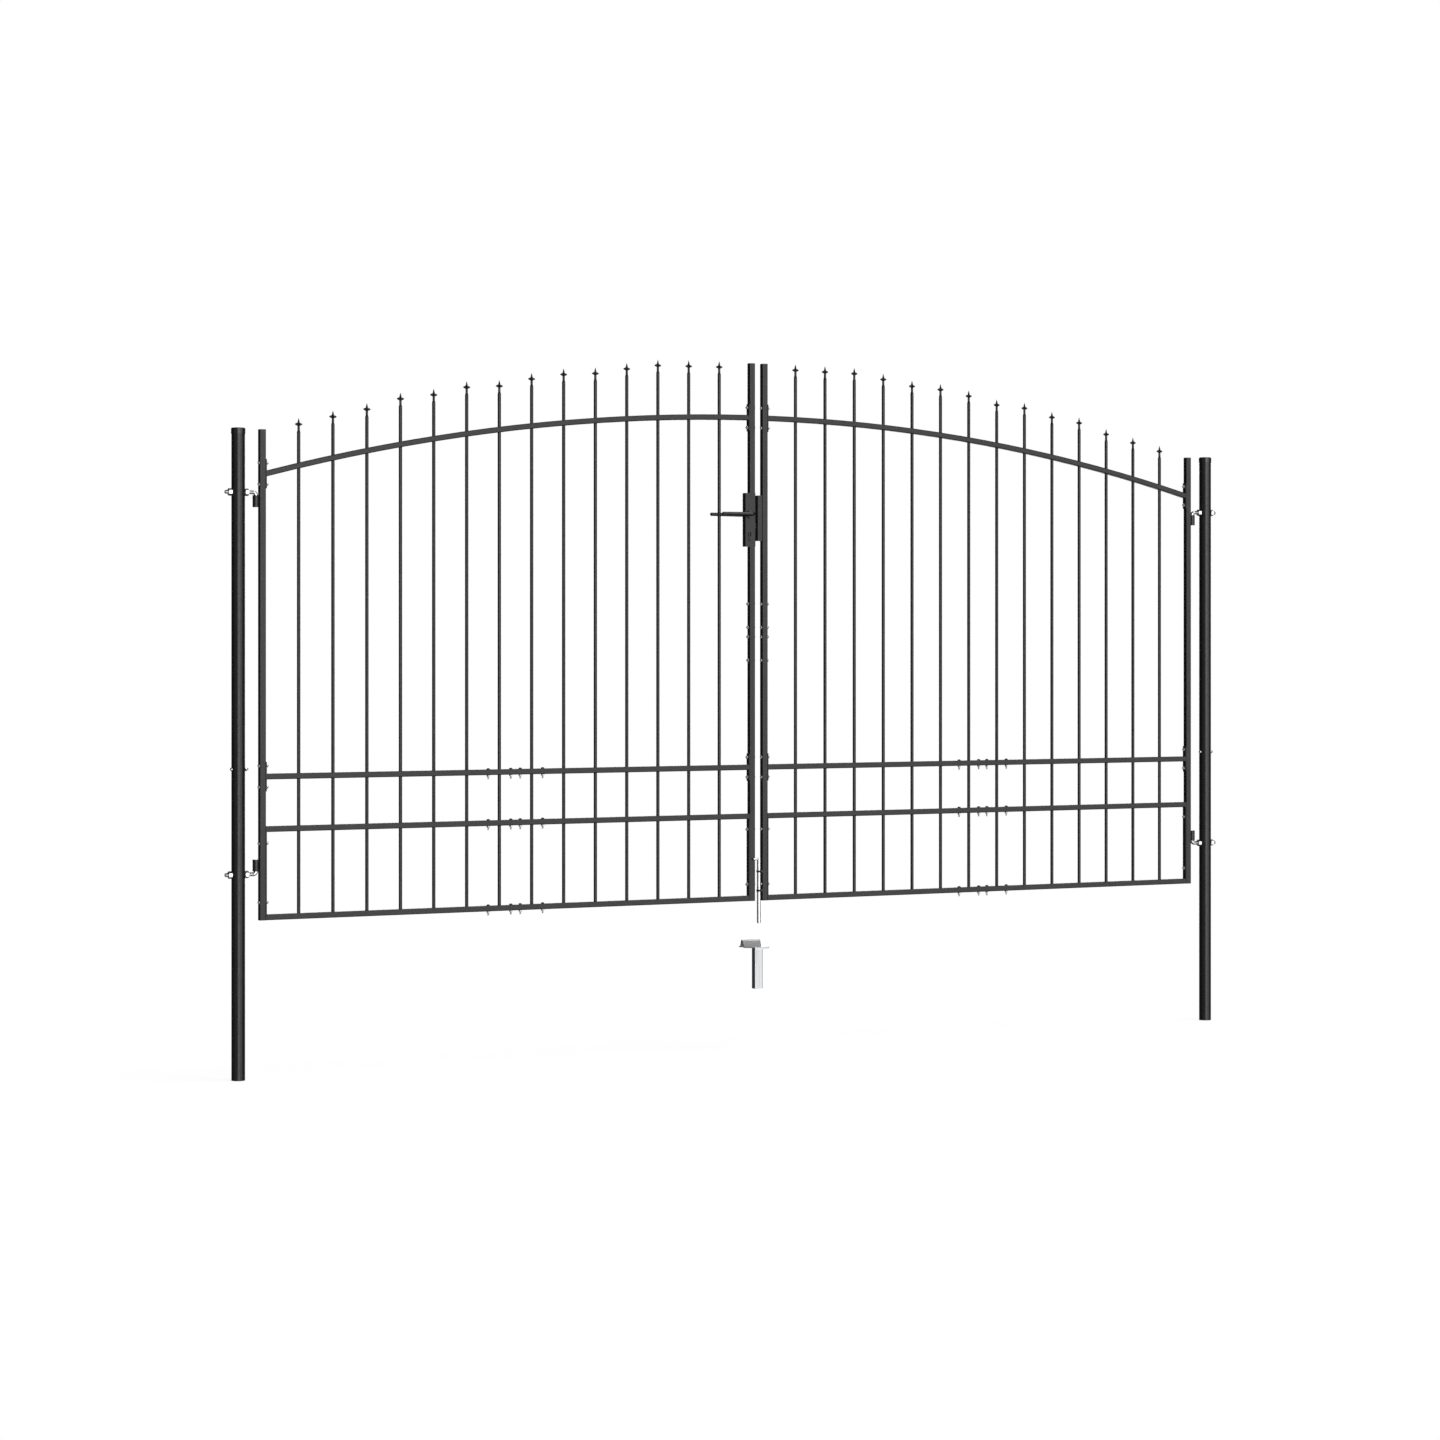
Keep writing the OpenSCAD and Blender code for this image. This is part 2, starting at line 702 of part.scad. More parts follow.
// Round rod along Z with bevelled ends
module rod(l, d, foot_edge, top_edge) {
    r = d / 2;
    rotate_extrude()
        polygon([[0, 0], [r - foot_edge, 0], [r, foot_edge], [r, l - top_edge], [r - top_edge, l], [0, l]]);
}

module drop_bolt() {
    color(zinc) right_side() difference() {
        translate([-bolt_side, -bolt_front, bolt_z]) rod(bolt_l, bolt_d, bolt_edge, bolt_edge);
        translate([-bolt_side, -bolt_front, handle_z]) rotate([0, -90, 0])
            cylinder(h = bolt_d, d = bolt_handle_d + fit);
    }
}

module drop_bolt_handle() {
    color(zinc) right_side() translate([-bolt_side - fit, -bolt_front, handle_z]) rotate([0, -90, 0])
        rod(bolt_handle_l - fit, bolt_handle_d, fit, bolt_edge);
}

// Solid bell: a round crown of radius r on straight leaning sides that end at height base
module bell(r, base) {
    crown = ridge_h - ridge_crown_r;
    side = r * cos(ridge_lean);
    shoulder = crown + r * sin(ridge_lean);
    foot = side + (shoulder - base) * tan(ridge_lean);
    translate([0, crown]) circle(r);
    polygon([[-foot, base], [foot, base], [side, shoulder], [-side, shoulder]]);
}

// Section of the ridge: a bent sheet with flat feet, centred on its own middle
module ridge_section() {
    difference() {
        union() {
            bell(ridge_crown_r, 0);
            translate([-ridge_w / 2, -stop_t]) square([ridge_w, stop_t]);
        }
        bell(ridge_crown_r - stop_t, -stop_t - cut);
    }
}

module ground_stop_plate() {
    tongue_front = ridge_front + tongue_depth;
    lip_u = leg_mid_u - leg_w / 2;
    color(zinc) right_side() difference() {
        union() {
            translate([ridge_end, ridge_w / 2 - ridge_front, stop_z]) rotate([90, 0, -90])
                linear_extrude(ridge_l) ridge_section();
            translate([0, 0, stop_z - stop_t]) linear_extrude(stop_t)
                polygon([[ridge_end - ridge_l, -ridge_front], [lip_u, -tongue_front],
                    [tongue_end, -tongue_front], [ridge_end, -ridge_front]]);
            translate([lip_u, -tongue_front, stop_z - lip_h]) cube([tongue_end - lip_u, lip_t, lip_h]);
        }
        translate([-bolt_side, -bolt_front, stop_z - 2 * stop_t]) cylinder(h = 3 * stop_t, d = bolt_hole_d);
    }
}

module ground_stop_leg() {
    top = stop_z - stop_t;
    color(zinc) right_side() translate([leg_mid_u, leg_depth / 2 - leg_front, top - leg_l])
        linear_extrude(leg_l) tube_section(leg_w, leg_depth, leg_wall, leg_corner);
}

module left_meeting_stile_upper() {
    color(black) left_side() difference() {
        meeting_stile_upper();
        translate([meeting_stile_u - cut, -stile, case_z]) cube([stile + 2 * cut, 2 * stile, case_h]);
    }
}

left_side() post_lower();  // left_post_lower
left_side() post_upper();  // left_post_upper
left_side() post_cap();  // left_post_cap
right_side() post_lower();  // right_post_lower
right_side() post_upper();  // right_post_upper
right_side() post_cap();  // right_post_cap
left_side() hinge_pin(top_pin_z, -1);  // left_top_hinge_pin
left_side() hinge_pin(bottom_pin_z, 1);  // left_bottom_hinge_pin
right_side() hinge_pin(top_pin_z, -1);  // right_top_hinge_pin
right_side() hinge_pin(bottom_pin_z, 1);  // right_bottom_hinge_pin
left_side() hinge_nuts();  // left_hinge_nuts
right_side() hinge_nuts();  // right_hinge_nuts
ground_stop_plate();
ground_stop_leg();
left_side() hinge_stile();  // left_hinge_stile
left_side() meeting_stile_lower();  // left_meeting_stile_lower
left_meeting_stile_upper();
left_side() outer_panel();  // left_outer_panel
left_side() inner_panel();  // left_inner_panel
left_side() spear_tips();  // left_spear_tips
left_side() hinge_barrels();  // left_hinge_barrels
left_side() stile_caps();  // left_stile_caps
lock_case();
lock_cylinder();
lock_latch();
lock_rosettes();
front_lever();
back_lever();
lock_spindle();
right_side() hinge_stile();  // right_hinge_stile
right_side() meeting_stile_lower();  // right_meeting_stile_lower
right_side() meeting_stile_upper();  // right_meeting_stile_upper
right_side() outer_panel();  // right_outer_panel
right_side() inner_panel();  // right_inner_panel
right_side() spear_tips();  // right_spear_tips
right_side() hinge_barrels();  // right_hinge_barrels
right_side() stile_caps();  // right_stile_caps
lock_keeper();
drop_bolt_guides();
drop_bolt();
drop_bolt_handle();
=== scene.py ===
import json
import math

import bmesh
import bpy
from mathutils import Matrix, Vector

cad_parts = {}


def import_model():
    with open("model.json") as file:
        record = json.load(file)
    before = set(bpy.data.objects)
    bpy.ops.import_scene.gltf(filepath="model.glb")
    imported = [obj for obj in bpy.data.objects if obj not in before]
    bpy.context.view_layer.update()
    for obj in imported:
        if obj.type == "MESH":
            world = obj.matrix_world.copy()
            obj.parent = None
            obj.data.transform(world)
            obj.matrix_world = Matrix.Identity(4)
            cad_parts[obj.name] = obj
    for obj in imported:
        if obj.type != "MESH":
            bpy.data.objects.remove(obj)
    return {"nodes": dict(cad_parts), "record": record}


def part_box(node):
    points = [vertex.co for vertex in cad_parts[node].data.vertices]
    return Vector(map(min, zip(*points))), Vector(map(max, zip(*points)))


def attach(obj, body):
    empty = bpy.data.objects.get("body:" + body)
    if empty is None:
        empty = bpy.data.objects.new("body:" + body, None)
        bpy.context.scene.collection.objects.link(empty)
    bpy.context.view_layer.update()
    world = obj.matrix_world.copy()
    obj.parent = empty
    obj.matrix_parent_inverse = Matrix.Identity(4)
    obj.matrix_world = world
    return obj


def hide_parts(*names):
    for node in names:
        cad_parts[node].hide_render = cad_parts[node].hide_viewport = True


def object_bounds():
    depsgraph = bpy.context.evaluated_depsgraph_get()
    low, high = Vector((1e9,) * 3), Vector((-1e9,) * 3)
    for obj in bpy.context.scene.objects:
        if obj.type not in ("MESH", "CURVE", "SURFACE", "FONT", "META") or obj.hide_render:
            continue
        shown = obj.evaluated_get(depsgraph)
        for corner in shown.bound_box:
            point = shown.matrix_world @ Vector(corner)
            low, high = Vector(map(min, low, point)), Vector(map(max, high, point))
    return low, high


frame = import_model()
cad_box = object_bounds()

# Camera of the photograph, in metres and degrees; the image is taken to be 1440 pixels wide and high
CAMERA_PLACE = (-3.839, -10.849, 1.469)
CAMERA_TURN = 27.57
FOCAL_PIXELS = 3395.6
IMAGE_PIXELS = 1440
AXIS_COLUMN = 720.5
HORIZON_ROW = 642.6
SENSOR = 36.0

# Heights and places on the leaves, in metres
LOWER_RAIL_UP = 0.307
RAIL_SPACING = 0.177
RAIL = 0.020
PLATE = 0.003
ARCH_BELOW_HINGE_STILE = 0.147
ARCH_BELOW_MEETING_STILE = 0.195
PLATE_BOLT_REACH = 0.036
LOWER_STRIP_BOLTS = (0.060, 0.259)
RAIL_SPLICE_BOLTS = (-0.104, -0.018, 0.018, 0.104)
STILE_SPLICE_BOLTS = (-0.102, -0.017, 0.017, 0.102)
POST_BOLT_HEIGHT = 1.044

# Small bolts of the leaves and the larger one through each post
BOLT_D = 0.006
BOLT_PITCH = 0.001
HEAD_D = 0.0125
HEAD_H = 0.0045
NUT_FLATS = 0.011
NUT_H = 0.006
BOLT_TAIL = 0.009
RAIL_BOLT_TAIL = 0.0145
POST_BOLT_D = 0.008
POST_BOLT_PITCH = 0.00125
POST_HEAD_D = 0.0135
POST_HEAD_H = 0.006
POST_NUT_FLATS = 0.013
POST_NUT_H = 0.0065
POST_BOLT_TAIL = 0.012

# Forms of heads, nuts and threads: shares of a height, radius or pitch, steps in degrees, and rows
HEAD_RIM = 0.15
DOME_STEPS = (0, 15, 30, 45, 60, 75, 86)
NUT_BEVEL = 0.12
NUT_END = 0.9
THREAD_DEPTH = 0.6
ROWS_PER_TURN = 6

# Hinge rods and the weld beads of their barrels: the bend's step in degrees, ends and wave as shares
PIN_D = 0.014
PIN_PITCH = 0.002
PIN_BEND = 0.0095
PIN_BEND_STEP = 9
PIN_BEVEL = 0.001
PIN_END = 0.86
BARREL_L = 0.040
BEAD_SIDE = 0.0055
BEAD_D = 0.005
BEAD_RIPPLE = 0.0022
BEAD_WAVE = 0.12
BEAD_END = 0.04
ROWS_PER_RIPPLE = 4

# Sides of round forms, and the angle in degrees from which an edge is sharp
ROUND_SIDES = 24
THREAD_SIDES = 16
BEAD_SIDES = 10
SHARP_ANGLE = 38

# Grain of the surfaces: noise scales per metre, depths in metres, other values are shares
NOISE_RANGE = (0.3, 0.7)
ROUGHNESS_FINENESS = 8
PEEL_DETAIL = 2.0
PEEL_DEPTH = 0.0003
PEEL_STRENGTH = 0.25

# Galvanised sheet; the drawing lines are steps per metre along X, Y and Z
PLATE_GRAIN = (4, 190, 190)
LEG_GRAIN = (190, 190, 4)
SHEET_DARK = (0.36, 0.37, 0.38)
SHEET_LIGHT = (0.53, 0.54, 0.55)
SHEET_ROUGHNESS = (0.32, 0.28)
CRYSTAL_SCALE = 300
CRYSTAL_SHARE = 0.1
SHEET_BUMP_SCALE = 300
SHEET_BUMP_DEPTH = 0.0001
SHEET_BUMP_STRENGTH = 0.15

# Studio: name, azimuth, elevation, spread and brightness of each soft light, angles in degrees
LIGHTS = (
    ("key", -8, 6, 40, 4.0),
    ("right_fill", 29, 6, 42, 1.95),
    ("left_fill", -66, 8, 50, 0.25),
    ("top_fill", 60, 62, 36, 3.6),
    ("back_fill", 148, 20, 50, 1.4),
)
AMBIENT = 0.04

# What mirror-like surfaces see: the backdrop's half angles and the pale floor's edges, in degrees
BACKDROP_EDGES = (26, 18)
FLOOR_MIRROR = 0.45
FLOOR_MIRROR_START = (-10, -22)
FLOOR_MIRROR_END = (-40, -54)

# Floor under the gate; its fade runs over distances in metres
FLOOR_HALF = 60.0
FLOOR_FADE = (3.0, 9.0)
FLOOR_TONE = 0.25
FLOOR_GLOW = 0.88


# Forms

class Shape:
    """Vertices and faces of one piece, gathered from many small forms."""

    def __init__(self):
        self.verts = []
        self.faces = []

    def add(self, form, place):
        verts, faces = form
        start = len(self.verts)
        self.verts += [place @ Vector(v) for v in verts]
        self.faces += [[start + i for i in face] for face in faces]

    def piece(self, name, material, body, slot):
        mesh = bpy.data.meshes.new(name)
        mesh.from_pydata(self.verts, [], self.faces)
        outward = bmesh.new()
        outward.from_mesh(mesh)
        bmesh.ops.recalc_face_normals(outward, faces=outward.faces)
        outward.to_mesh(mesh)
        outward.free()
        mesh.materials.append(material)
        mesh.shade_smooth()
        mesh.set_sharp_from_angle(angle=math.radians(SHARP_ANGLE))
        obj = bpy.data.objects.new(name, mesh)
        bpy.context.scene.collection.objects.link(obj)
        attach(obj, body)
        return obj


def skin(rings):
    """Closed form through rings of equally many points, with flat ends."""
    sides = len(rings[0])
    verts = [v for points in rings for v in points]
    faces = [list(range(sides))[::-1]]
    for r in range(len(rings) - 1):
        for k in range(sides):
            a, b = r * sides + k, r * sides + (k + 1) % sides
            faces.append([a, b, b + sides, a + sides])
    faces.append([(len(rings) - 1) * sides + k for k in range(sides)])
    return verts, faces


def ring(radius, z, sides):
    """Points of a level circle."""
    turns = [2 * math.pi * k / sides for k in range(sides)]
    return [(radius * math.cos(a), radius * math.sin(a), z) for a in turns]


def turned(profile, sides=ROUND_SIDES):
    """Form turned about Z from points of radius and height."""
    return skin([ring(r, z, sides) for r, z in profile])


def dome_head(d, h):
    """Round head whose foot lies at the origin and whose crown points along Z."""
    steps = [math.radians(a) for a in DOME_STEPS]
    rim = HEAD_RIM * h
    dome = [(0.5 * d * math.cos(a), rim + (h - rim) * math.sin(a)) for a in steps]
    return turned([(0.5 * d, 0)] + dome)


def hexagon(flats, h):
    """Nut with bevelled ends, foot at the origin."""
    r = flats / math.sqrt(3)
    edge = NUT_BEVEL * h
    return turned([(NUT_END * r, 0), (r, edge), (r, h - edge), (NUT_END * r, h)], 6)


def thread(length, d, pitch, sides=THREAD_SIDES):
    """Threaded rod along Z with a bevelled free end."""
    depth = THREAD_DEPTH * pitch
    rows = round(length / pitch * ROWS_PER_TURN)
    rings = []
    for row in range(rows + 1):
        z = length * row / rows
        end = max(0.0, z - length + pitch) / pitch
        points = []
        for k in range(sides):
            wave = abs((z / pitch - k / sides) % 1 - 0.5) * 2
            r = 0.5 * d - depth * max(wave, end)
            a = 2 * math.pi * k / sides
            points.append((r * math.cos(a), r * math.sin(a), z))
        rings.append(points)
    return skin(rings)


def bend(axis, radius, outward, up, straight):
    """Smooth end of a hinge rod: a quarter bend from the level rod into the upright hinge axis."""
    rings = []
    stations = [math.radians(a) for a in range(0, 91, PIN_BEND_STEP)]
    for a in stations:
        centre = axis + PIN_BEND * Vector((outward * (1 - math.sin(a)), 0, up * (1 - math.cos(a))))
        side = Vector((-outward * math.sin(a), 0, -up * math.cos(a)))
        rings.append([centre + radius * turn for turn in turns_about(side)])
    side = Vector((-outward, 0, 0))
    for share, height in ((1.0, straight - PIN_BEVEL), (PIN_END, straight)):
        end = axis + Vector((0, 0, up * (PIN_BEND + height)))
        rings.append([end + share * radius * turn for turn in turns_about(side)])
    return skin(rings)


def turns_about(side):
    """Directions once round a rod that lies in the gate's plane, starting from a side direction."""
    steps = [2 * math.pi * k / ROUND_SIDES for k in range(ROUND_SIDES)]
    return [math.cos(t) * side + math.sin(t) * Vector((0, 1, 0)) for t in steps]


def bead(length, d, ripple):
    """Weld bead along Z with a rippled skin and rounded ends."""
    rows = round(length / ripple * ROWS_PER_RIPPLE)
    rings = []
    for row in range(rows + 1):
        z = length * row / rows
        end = min(1.0, math.sqrt(max(BEAD_END, min(z, length - z) / d)))
        wave = 1 - BEAD_WAVE + BEAD_WAVE * math.cos(2 * math.pi * z / ripple)
        rings.append(ring(0.5 * d * end * wave, z, BEAD_SIDES))
    return skin(rings)


def along(point, direction):
    """Placement that carries the origin to a point and +Z to a direction."""
    turn = Vector(direction).to_track_quat("Z", "Y").to_matrix().to_4x4()
    return Matrix.Translation(point) @ turn


# Materials

def new_material(name):
    """Material with one principled shader, its node tree and that shader."""
    material = bpy.data.materials.new(name)
    material.use_nodes = True
    tree = material.node_tree
    tree.nodes.clear()
    shader = tree.nodes.new("ShaderNodeBsdfPrincipled")
    output = tree.nodes.new("ShaderNodeOutputMaterial")
    tree.links.new(shader.outputs["BSDF"], output.inputs["Surface"])
    return material, tree, shader


def noise(tree, scale, detail=3.0):
    """Even three-dimensional noise in the piece's own coordinates."""
    coords = tree.nodes.new("ShaderNodeTexCoord")
    texture = tree.nodes.new("ShaderNodeTexNoise")
    texture.inputs["Scale"].default_value = scale
    texture.inputs["Detail"].default_value = detail
    tree.links.new(coords.outputs["Object"], texture.inputs["Vector"])
    return texture.outputs["Fac"]


def spangle(tree, scale):
    """Grey value of each crystal of a zinc skin."""
    coords = tree.nodes.new("ShaderNodeTexCoord")
    texture = tree.nodes.new("ShaderNodeTexVoronoi")
    texture.inputs["Scale"].default_value = scale
    tree.links.new(coords.outputs["Object"], texture.inputs["Vector"])
    grey = tree.nodes.new("ShaderNodeRGBToBW")
    tree.links.new(texture.outputs["Color"], grey.inputs["Color"])
    return grey.outputs["Val"]


def grain(tree, steps):
    """Noise drawn out along one axis."""
    coords = tree.nodes.new("ShaderNodeTexCoord")
    mapping = tree.nodes.new("ShaderNodeMapping")
    mapping.inputs["Scale"].default_value = steps
    texture = tree.nodes.new("ShaderNodeTexNoise")
    texture.inputs["Scale"].default_value = 1.0
    tree.links.new(coords.outputs["Object"], mapping.inputs["Vector"])
    tree.links.new(mapping.outputs["Vector"], texture.inputs["Vector"])
    return texture.outputs["Fac"]


def blend_values(tree, first, second, share):
    """Number between two others; share is the weight of the second."""
    node = tree.nodes.new("ShaderNodeMix")
    node.inputs["Factor"].default_value = share
    tree.links.new(first, node.inputs["A"])
    tree.links.new(second, node.inputs["B"])
    return node.outputs["Result"]


def blend_colours(tree, value, dark, light):
    """Colour that runs from dark to light as a value runs over its middle range."""
    node = tree.nodes.new("ShaderNodeValToRGB")
    for stop, position, colour in zip(node.color_ramp.elements, NOISE_RANGE, (dark, light)):
        stop.position = position
        stop.color = (*colour, 1)
    tree.links.new(value, node.inputs["Fac"])
    return node.outputs["Color"]


def blend_numbers(tree, value, low, high):
    """Number that runs from low to high as a value runs over its middle range."""
    node = tree.nodes.new("ShaderNodeMapRange")
    node.inputs["From Min"].default_value = NOISE_RANGE[0]
    node.inputs["From Max"].default_value = NOISE_RANGE[1]
    node.inputs["To Min"].default_value = low
    node.inputs["To Max"].default_value = high
    tree.links.new(value, node.inputs["Value"])
    return node.outputs["Result"]


def bump(tree, shader, height, depth, strength):
    """Fine relief on a shader."""
    node = tree.nodes.new("ShaderNodeBump")
    node.inputs["Distance"].default_value = depth
    node.inputs["Strength"].default_value = strength
    tree.links.new(height, node.inputs["Height"])
    tree.links.new(node.outputs["Normal"], shader.inputs["Normal"])


def mottled_finish(name, dark, light, rough, gloss, metallic, mottle, peel):
    """Surface with mottled colour and roughness and a fine grain; mottle and peel are noise scales."""
    material, tree, shader = new_material(name)
    colour = blend_colours(tree, noise(tree, mottle), dark, light)
    roughness = blend_numbers(tree, noise(tree, ROUGHNESS_FINENESS * mottle), *rough)
    tree.links.new(colour, shader.inputs["Base Color"])
    tree.links.new(roughness, shader.inputs["Roughness"])
    shader.inputs["Metallic"].default_value = metallic
    shader.inputs["Specular IOR Level"].default_value = gloss
    bump(tree, shader, noise(tree, peel, PEEL_DETAIL), PEEL_DEPTH, PEEL_STRENGTH)
    return material


def galvanised_finish(name, steps):
    """Galvanised sheet with drawing lines and faint zinc crystals."""
    material, tree, shader = new_material(name)
    tone = blend_values(tree, grain(tree, steps), spangle(tree, CRYSTAL_SCALE), CRYSTAL_SHARE)
    colour = blend_colours(tree, tone, SHEET_DARK, SHEET_LIGHT)
    roughness = blend_numbers(tree, tone, *SHEET_ROUGHNESS)
    tree.links.new(colour, shader.inputs["Base Color"])
    tree.links.new(roughness, shader.inputs["Roughness"])
    shader.inputs["Metallic"].default_value = 1.0
    bump(tree, shader, noise(tree, SHEET_BUMP_SCALE), SHEET_BUMP_DEPTH, SHEET_BUMP_STRENGTH)
    return material


FINISHES = {
    "black_coat": mottled_finish(
        "powder_coat", dark=(0.009, 0.009, 0.0095), light=(0.014, 0.014, 0.0145),
        rough=(0.26, 0.34), gloss=0.4, metallic=0.0, mottle=7, peel=900),
    "black_plastic": mottled_finish(
        "moulded_plastic", dark=(0.009, 0.009, 0.009), light=(0.013, 0.013, 0.013),
        rough=(0.22, 0.30), gloss=0.5, metallic=0.0, mottle=20, peel=1500),
    "zinc": mottled_finish(
        "bright_zinc", dark=(0.66, 0.68, 0.71), light=(0.80, 0.81, 0.82),
        rough=(0.22, 0.36), gloss=0.5, metallic=1.0, mottle=40, peel=700),
    "dull_zinc": mottled_finish(
        "dull_zinc", dark=(0.58, 0.60, 0.63), light=(0.74, 0.75, 0.76),
        rough=(0.42, 0.56), gloss=0.5, metallic=1.0, mottle=60, peel=900),
    "galvanised": galvanised_finish("galvanised_leg", LEG_GRAIN),
}
NODE_FINISHES = {"ground_stop_plate": galvanised_finish("galvanised_plate", PLATE_GRAIN)}


def dress_nodes():
    """Gives each CAD node the finish of its slot, or its own."""
    for row in frame["record"]["subparts"]:
        mesh = frame["nodes"][row["node"]].data
        mesh.materials.clear()
        mesh.materials.append(NODE_FINISHES.get(row["node"], FINISHES[row["material_slot"]]))


# Bolts

def add_bolt(heads, nuts, foot, direction, grip, tail=BOLT_TAIL):
    """Bolt whose dome head sits at foot and whose nut sits past the clamped thickness."""
    direction = Vector(direction)
    seat = Vector(foot) + grip * direction
    heads.add(dome_head(HEAD_D, HEAD_H), along(foot, -direction))
    nuts.add(hexagon(NUT_FLATS, NUT_H), along(seat, direction))
    nuts.add(thread(tail, BOLT_D, BOLT_PITCH), along(seat, direction))


def leaf_bolts(side, inward):
    """All bolts of one leaf; inward is the X direction from its hinge stile to its meeting stile."""
    black_heads, zinc_parts = Shape(), Shape()
    outer_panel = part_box(f"{side}_outer_panel")
    hinge_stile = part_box(f"{side}_hinge_stile")
    lower_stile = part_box(f"{side}_meeting_stile_lower")
    upper_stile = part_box(f"{side}_meeting_stile_upper")
    bottom = hinge_stile[0].z
    lower_rail = bottom + LOWER_RAIL_UP
    upper_rail = lower_rail + RAIL_SPACING

    splice_x = outer_panel[1].x if inward > 0 else outer_panel[0].x
    for rail_z in (bottom + RAIL / 2, lower_rail, upper_rail):
        for dx in RAIL_SPLICE_BOLTS:
            foot = (splice_x + dx, 0, rail_z + RAIL / 2)
            add_bolt(black_heads, zinc_parts, foot, (0, 0, -1), RAIL, RAIL_BOLT_TAIL)

    stiles = (
        (hinge_stile, inward, hinge_stile[1].z - ARCH_BELOW_HINGE_STILE),
        (lower_stile, -inward, upper_stile[1].z - ARCH_BELOW_MEETING_STILE),
    )
    for box, towards, arch_z in stiles:
        foot_x = box[0].x if towards > 0 else box[1].x
        width = box[1].x - box[0].x
        heights = [bottom + up for up in LOWER_STRIP_BOLTS]
        heights += [z + s * PLATE_BOLT_REACH for z in (upper_rail, arch_z) for s in (-1, 1)]
        for z in heights:
            add_bolt(zinc_parts, zinc_parts, (foot_x, 0, z), (towards, 0, 0), width + PLATE)

    foot_x = lower_stile[1].x if inward > 0 else lower_stile[0].x
    width = lower_stile[1].x - lower_stile[0].x
    for dz in STILE_SPLICE_BOLTS:
        add_bolt(zinc_parts, zinc_parts, (foot_x, 0, lower_stile[1].z + dz), (-inward, 0, 0), width)

    black_heads.piece(f"{side}_rail_bolt_heads", FINISHES["black_coat"], f"{side}_leaf", "black_coat")
    zinc_parts.piece(f"{side}_leaf_bolts", FINISHES["dull_zinc"], f"{side}_leaf", "zinc")


def post_bolt(side):
    """Bolt that holds the two lengths of a post together."""
    shape = Shape()
    low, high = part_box(f"{side}_post_lower")
    centre = (low + high) / 2
    radius = (high.x - low.x) / 2
    foot = Vector((centre.x - radius, 0, POST_BOLT_HEIGHT))
    seat = Vector((centre.x + radius, 0, POST_BOLT_HEIGHT))
    shape.add(dome_head(POST_HEAD_D, POST_HEAD_H), along(foot, (-1, 0, 0)))
    shape.add(hexagon(POST_NUT_FLATS, POST_NUT_H), along(seat, (1, 0, 0)))
    shape.add(thread(POST_BOLT_TAIL, POST_BOLT_D, POST_BOLT_PITCH), along(seat, (1, 0, 0)))
    shape.piece(f"{side}_post_bolt", FINISHES["zinc"], "posts", "zinc")


# Hinges

def hinge_rods(side, outward):
    """Threaded rods of one post with bent ends; outward is the X direction from leaf to post."""
    shape = Shape()
    radius = PIN_D / 2
    nodes = {f"{side}_top_hinge_pin": -1, f"{side}_bottom_hinge_pin": 1}
    for node, up in nodes.items():
        low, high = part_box(node)
        axis_x = low.x + radius if outward > 0 else high.x - radius
        tip_x = high.x if outward > 0 else low.x
        axis = Vector((axis_x, 0, low.z + radius if up > 0 else high.z - radius))
        start = axis + Vector((outward * PIN_BEND, 0, 0))
        level_part = thread(abs(tip_x - start.x), PIN_D, PIN_PITCH, ROUND_SIDES)
        shape.add(level_part, along(start, (outward, 0, 0)))
        straight = high.z - low.z - radius - PIN_BEND
        shape.add(bend(axis, radius, outward, up, straight), Matrix.Identity(4))
    rods = shape.piece(f"{side}_hinge_rods", FINISHES["zinc"], "posts", "zinc")
    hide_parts(*nodes)


def barrel_welds(side, outward):
    """Beads that join both barrels of a leaf to its hinge stile."""
    shape = Shape()
    low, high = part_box(f"{side}_hinge_barrels")
    face_x = low.x if outward > 0 else high.x
    for z in (low.z, high.z - BARREL_L):
        for y in (-BEAD_SIDE, BEAD_SIDE):
            shape.add(bead(BARREL_L, BEAD_D, BEAD_RIPPLE), along((face_x, y, z), (0, 0, 1)))
    shape.piece(f"{side}_barrel_welds", FINISHES["black_coat"], f"{side}_leaf", "black_coat")


# Stage

def calculate(tree, operation, first, second):
    """Result of one mathematical operation on two outputs."""
    node = tree.nodes.new("ShaderNodeMath")
    node.operation = operation
    tree.links.new(first, node.inputs[0])
    tree.links.new(second, node.inputs[1])
    return node.outputs[0]


def larger(tree, first, second):
    return calculate(tree, "MAXIMUM", first, second)


def product(tree, first, second):
    return calculate(tree, "MULTIPLY", first, second)


def smooth_step(tree, value, low, high, top=1.0):
    """0 at low, top at high and smooth between."""
    node = tree.nodes.new("ShaderNodeMapRange")
    node.interpolation_type = "SMOOTHSTEP"
    node.inputs["From Min"].default_value = low
    node.inputs["From Max"].default_value = high
    node.inputs["To Max"].default_value = top
    tree.links.new(value, node.inputs["Value"])
    return node.outputs["Result"]


def slope(degrees):
    """Vertical part of a direction that rises by an angle."""
    return math.sin(math.radians(degrees))


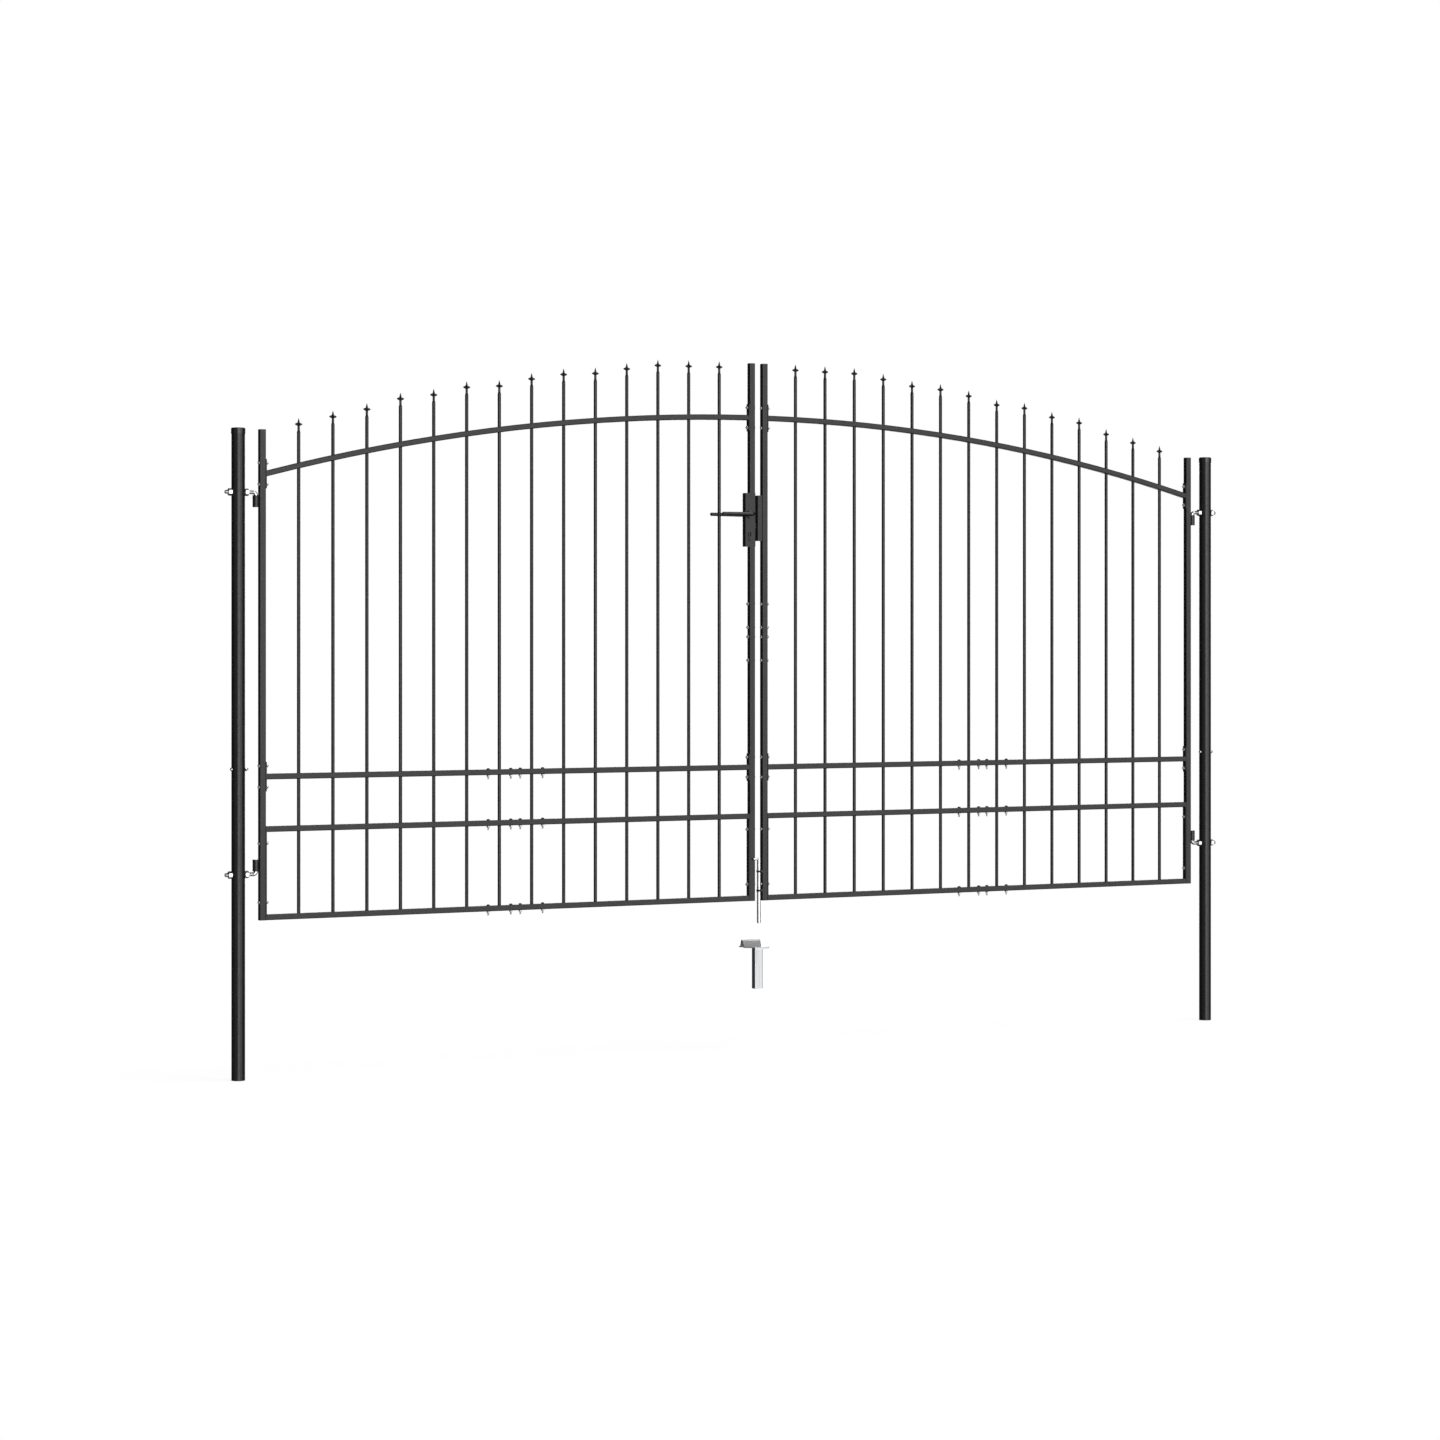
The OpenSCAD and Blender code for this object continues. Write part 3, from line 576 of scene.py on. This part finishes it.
def white_share(tree):
    """Share of white: all for camera rays and the mirrored backdrop, less for the mirrored floor."""
    coords = tree.nodes.new("ShaderNodeTexCoord")
    unit = tree.nodes.new("ShaderNodeVectorMath")
    unit.operation = "NORMALIZE"
    tree.links.new(coords.outputs["Generated"], unit.inputs[0])
    turn = math.radians(CAMERA_TURN)
    dot = tree.nodes.new("ShaderNodeVectorMath")
    dot.operation = "DOT_PRODUCT"
    dot.inputs[1].default_value = (math.sin(turn), math.cos(turn), 0)
    tree.links.new(unit.outputs["Vector"], dot.inputs[0])
    edges = [math.cos(math.radians(a)) for a in BACKDROP_EDGES]
    backdrop = smooth_step(tree, dot.outputs["Value"], *edges)
    parts = tree.nodes.new("ShaderNodeSeparateXYZ")
    tree.links.new(unit.outputs["Vector"], parts.inputs["Vector"])
    start = [slope(a) for a in FLOOR_MIRROR_START]
    end = [slope(a) for a in reversed(FLOOR_MIRROR_END)]
    far_floor = smooth_step(tree, parts.outputs["Z"], *start)
    near_floor = smooth_step(tree, parts.outputs["Z"], *end, top=FLOOR_MIRROR)
    surroundings = larger(tree, backdrop, product(tree, far_floor, near_floor))
    path = tree.nodes.new("ShaderNodeLightPath")
    mirrored = larger(tree, path.outputs["Is Glossy Ray"], path.outputs["Is Transmission Ray"])
    seen = product(tree, mirrored, surroundings)
    return larger(tree, path.outputs["Is Camera Ray"], seen)


def world():
    """White to the camera; mirror-like surfaces see the white backdrop and a dim studio beside it."""
    scene_world = bpy.data.worlds.new("studio")
    bpy.context.scene.world = scene_world
    scene_world.use_nodes = True
    tree = scene_world.node_tree
    tree.nodes.clear()
    background = tree.nodes.new("ShaderNodeBackground")
    output = tree.nodes.new("ShaderNodeOutputWorld")
    mix = tree.nodes.new("ShaderNodeMix")
    mix.data_type = "RGBA"
    mix.inputs["A"].default_value = (AMBIENT, AMBIENT, AMBIENT, 1)
    mix.inputs["B"].default_value = (1, 1, 1, 1)
    tree.links.new(white_share(tree), mix.inputs["Factor"])
    tree.links.new(mix.outputs["Result"], background.inputs["Color"])
    tree.links.new(background.outputs["Background"], output.inputs["Surface"])


def floor_material():
    """Pale near the gate and plain white farther off."""
    material = bpy.data.materials.new("pale_floor")
    material.use_nodes = True
    tree = material.node_tree
    tree.nodes.clear()
    coords = tree.nodes.new("ShaderNodeTexCoord")
    path = tree.nodes.new("ShaderNodeLightPath")
    white = larger(tree, path.outputs["Is Camera Ray"], path.outputs["Is Transmission Ray"])
    distance = tree.nodes.new("ShaderNodeVectorMath")
    distance.operation = "LENGTH"
    tree.links.new(coords.outputs["Object"], distance.inputs[0])
    far = smooth_step(tree, distance.outputs["Value"], *FLOOR_FADE)
    near_glow = tree.nodes.new("ShaderNodeEmission")
    near_glow.inputs["Color"].default_value = (FLOOR_GLOW, FLOOR_GLOW, FLOOR_GLOW, 1)
    tree.links.new(white, near_glow.inputs["Strength"])
    far_glow = tree.nodes.new("ShaderNodeEmission")
    tree.links.new(white, far_glow.inputs["Strength"])
    diffuse = tree.nodes.new("ShaderNodeBsdfDiffuse")
    diffuse.inputs["Color"].default_value = (FLOOR_TONE, FLOOR_TONE, FLOOR_TONE, 1)
    near = tree.nodes.new("ShaderNodeAddShader")
    tree.links.new(diffuse.outputs["BSDF"], near.inputs[0])
    tree.links.new(near_glow.outputs["Emission"], near.inputs[1])
    mix = tree.nodes.new("ShaderNodeMixShader")
    tree.links.new(far, mix.inputs["Fac"])
    tree.links.new(near.outputs["Shader"], mix.inputs[1])
    tree.links.new(far_glow.outputs["Emission"], mix.inputs[2])
    output = tree.nodes.new("ShaderNodeOutputMaterial")
    tree.links.new(mix.outputs["Shader"], output.inputs["Surface"])
    return material


def floor():
    """Floor round the gate's middle that keeps the shadow near it."""
    middle = (cad_box[0] + cad_box[1]) / 2
    mesh = bpy.data.meshes.new("floor")
    corners = [(x * FLOOR_HALF, y * FLOOR_HALF, 0) for x, y in ((-1, -1), (1, -1), (1, 1), (-1, 1))]
    mesh.from_pydata(corners, [], [(0, 1, 2, 3)])
    mesh.materials.append(floor_material())
    obj = bpy.data.objects.new("floor", mesh)
    obj.location = (middle.x, middle.y, 0)
    bpy.context.scene.collection.objects.link(obj)
    obj.visible_glossy = False
    obj.visible_shadow = False


def soft_light(name, azimuth, elevation, spread, level):
    """Round soft light of even brightness; azimuth 0 is straight in front and turns towards +X."""
    lamp = bpy.data.lights.new(name, "SUN")
    lamp.angle = math.radians(spread)
    lamp.energy = level * math.pi * math.sin(lamp.angle / 2) ** 2
    obj = bpy.data.objects.new(name, lamp)
    a, e = math.radians(azimuth), math.radians(elevation)
    source = Vector((math.sin(a) * math.cos(e), -math.cos(a) * math.cos(e), math.sin(e)))
    obj.rotation_euler = source.to_track_quat("Z", "Y").to_euler()
    obj.visible_camera = False
    bpy.context.scene.collection.objects.link(obj)


def camera():
    """Level camera of the photograph."""
    data = bpy.data.cameras.new("camera")
    data.sensor_width = SENSOR
    data.lens = SENSOR * FOCAL_PIXELS / IMAGE_PIXELS
    data.shift_x = (IMAGE_PIXELS / 2 - AXIS_COLUMN) / IMAGE_PIXELS
    data.shift_y = (HORIZON_ROW - IMAGE_PIXELS / 2) / IMAGE_PIXELS
    obj = bpy.data.objects.new("camera", data)
    obj.location = CAMERA_PLACE
    obj.rotation_euler = (math.radians(90), 0, math.radians(-CAMERA_TURN))
    bpy.context.scene.collection.objects.link(obj)
    bpy.context.scene.camera = obj


bpy.context.scene.view_settings.view_transform = "Standard"
dress_nodes()
leaf_bolts("left", 1)
leaf_bolts("right", -1)
for post, outward in (("left", -1), ("right", 1)):
    post_bolt(post)
    hinge_rods(post, outward)
    barrel_welds(post, outward)

world()
floor()
for light in LIGHTS:
    soft_light(*light)
camera()
